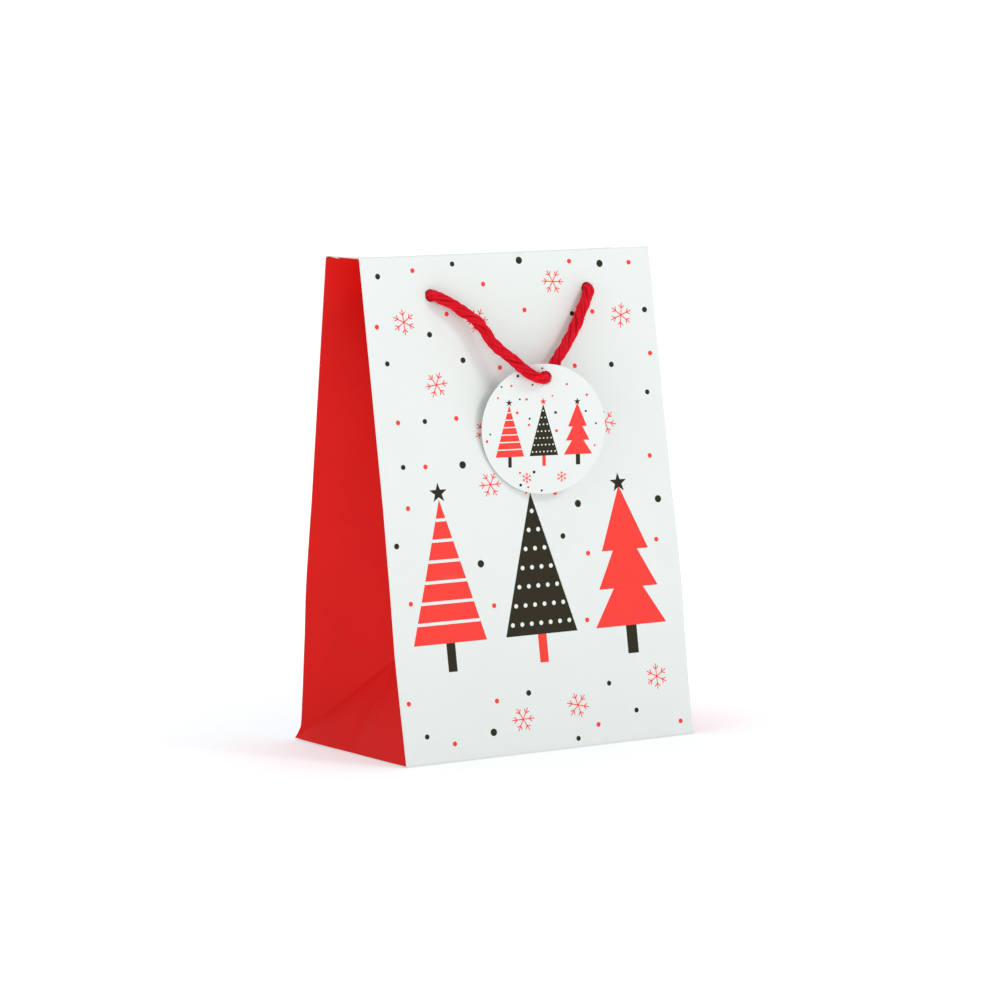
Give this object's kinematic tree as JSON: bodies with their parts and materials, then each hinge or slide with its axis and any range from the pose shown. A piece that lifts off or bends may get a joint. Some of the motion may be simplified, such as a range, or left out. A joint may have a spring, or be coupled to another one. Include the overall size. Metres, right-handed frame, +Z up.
{
  "type": "gift bag",
  "caption": "Upright paper gift bag with folded side gussets, a punched and hemmed mouth, a knotted rope handle on each wall and a round gift tag on the front rope.",
  "frame": {"origin": "centre of the base's underside, on the plane the bag stands on", "axes": "+Z up towards the mouth, -Y out of the front wall that carries the tag, +X to the right of someone facing the front"},
  "size_m": [0.162, 0.1038, 0.2371],
  "materials": {
    "printed_paper": "satin",
    "red_paper": "satin",
    "paper_inside": "matte",
    "grey_board": "matte",
    "tag_card": "satin",
    "red_rope": "matte"
  },
  "bodies": {
    "bag_base": {"front_bottom_flap": "printed_paper", "back_bottom_flap": "printed_paper", "left_bottom_tuck": "red_paper", "right_bottom_tuck": "red_paper", "base_board": "grey_board", "left_base_triangle": "red_paper", "right_base_triangle": "red_paper", "left_gusset": "red_paper", "right_gusset": "red_paper", "left_gusset_hem": "paper_inside", "right_gusset_hem": "paper_inside"},
    "front_wall": {"front_panel": "printed_paper", "front_reinforcement": "grey_board", "front_hem": "paper_inside", "front_left_rope_knot": "red_rope", "front_right_rope_knot": "red_rope"},
    "back_wall": {"back_panel": "printed_paper", "back_reinforcement": "grey_board", "back_hem": "paper_inside", "back_left_rope_knot": "red_rope", "back_right_rope_knot": "red_rope", "glue_flap": "red_paper"},
    "front_handle": {"front_handle_rope": "red_rope"},
    "back_handle": {"back_handle_rope": "red_rope"},
    "tag": {"gift_tag": "tag_card"}
  },
  "joints": [
    {"name": "mouth_open", "type": "hinge", "parent": "bag_base", "child": "front_wall", "pos_m": [0, -0.052, 0], "axis": [1, 0, 0], "range_deg": [-1, 5], "stiffness_Nm_per_rad": 0.5, "deforming": ["left_gusset", "right_gusset", "left_gusset_hem", "right_gusset_hem"]},
    {"name": "back_wall_open", "type": "hinge", "parent": "bag_base", "child": "back_wall", "pos_m": [0, 0.052, 0], "axis": [-1, 0, 0], "range_deg": [-1, 5], "stiffness_Nm_per_rad": 0.5},
    {"name": "front_handle_swing", "type": "hinge", "parent": "front_wall", "child": "front_handle", "pos_m": [0, -0.02124, 0.21857], "axis": [-1, 0, 0], "range_deg": [0, 145], "deforming": ["front_handle_rope"]},
    {"name": "tag_hang", "type": "hinge", "parent": "front_handle", "child": "tag", "pos_m": [0.0064, -0.03867, 0.17757], "axis": [-1, 0, 0], "range_deg": [-145, 0]},
    {"name": "back_handle_swing", "type": "hinge", "parent": "back_wall", "child": "back_handle", "pos_m": [0, 0.02124, 0.21857], "axis": [1, 0, 0], "range_deg": [0, 145], "deforming": ["back_handle_rope"]}
  ],
  "couplings": [
    {"joint": "back_wall_open", "follows": "mouth_open", "ratio": 1},
    {"joint": "tag_hang", "follows": "front_handle_swing", "ratio": -1}
  ]
}
